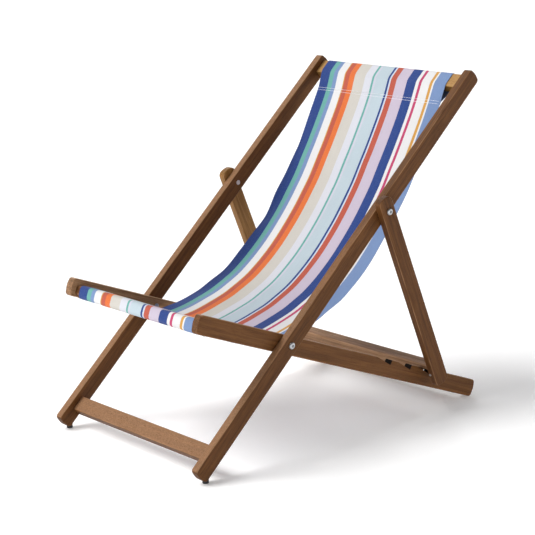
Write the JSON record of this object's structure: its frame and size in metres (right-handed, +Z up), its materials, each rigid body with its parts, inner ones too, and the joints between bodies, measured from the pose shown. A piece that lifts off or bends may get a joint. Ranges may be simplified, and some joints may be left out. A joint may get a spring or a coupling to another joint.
{
  "type": "folding deck chair",
  "caption": "Folding wooden deck chair with a striped canvas sling between two crossed frames, held open by a pivoting prop bar in recline notches.",
  "frame": {"origin": "on the ground under the middle of the chair's length and width, in the open pose", "axes": "+X across the chair towards its left arm side as seen by a sitter, -Y towards the front of the seat, +Z up"},
  "size_m": [0.6096, 0.9456, 0.8543],
  "materials": {
    "stained_wood": "mid-brown stained hardwood, softly sanded",
    "golden_wood": "light golden oiled hardwood",
    "canvas": "striped cotton canvas",
    "bolts": "zinc-plated steel",
    "steel_pins": "zinc-plated steel",
    "rubber": "black rubber"
  },
  "bodies": {
    "long_frame": {"long_rail_right": "stained_wood", "long_rail_left": "stained_wood", "top_board": "golden_wood", "foot_board": "stained_wood", "rubber_foot_right": "rubber", "rubber_foot_left": "rubber", "foot_nails": "steel_pins", "long_frame_pins": "steel_pins", "seat_pivot_washers": "bolts", "prop_pivot_washers": "bolts", "sling": "canvas", "seat_pivot_bolt_right": "bolts", "seat_pivot_bolt_left": "bolts", "seat_pivot_nut_right": "bolts", "seat_pivot_nut_left": "bolts", "prop_pivot_bolt_right": "bolts", "prop_pivot_bolt_left": "bolts", "prop_pivot_nut_right": "bolts", "prop_pivot_nut_left": "bolts"},
    "seat_frame": {"seat_rail_right": "stained_wood", "seat_rail_left": "stained_wood", "front_board": "stained_wood", "rear_board": "stained_wood", "seat_frame_pins": "steel_pins"},
    "prop_frame": {"prop_strut_right": "stained_wood", "prop_strut_left": "stained_wood", "prop_bar": "stained_wood", "prop_frame_pins": "steel_pins"}
  },
  "joints": [
    {"name": "main_fold", "type": "hinge", "parent": "long_frame", "child": "seat_frame", "pos_m": [0, -0.1836, 0.27163], "axis": [1, 0, 0], "range_deg": [0, 63.5], "deforming": ["sling"]},
    {"name": "prop_fold", "type": "hinge", "parent": "long_frame", "child": "prop_frame", "pos_m": [0, 0.11769, 0.54674], "axis": [1, 0, 0], "range_deg": [0, 110.2]}
  ],
  "couplings": [
    {"joint": "prop_fold", "follows": "main_fold", "ratio": 1.7339}
  ]
}
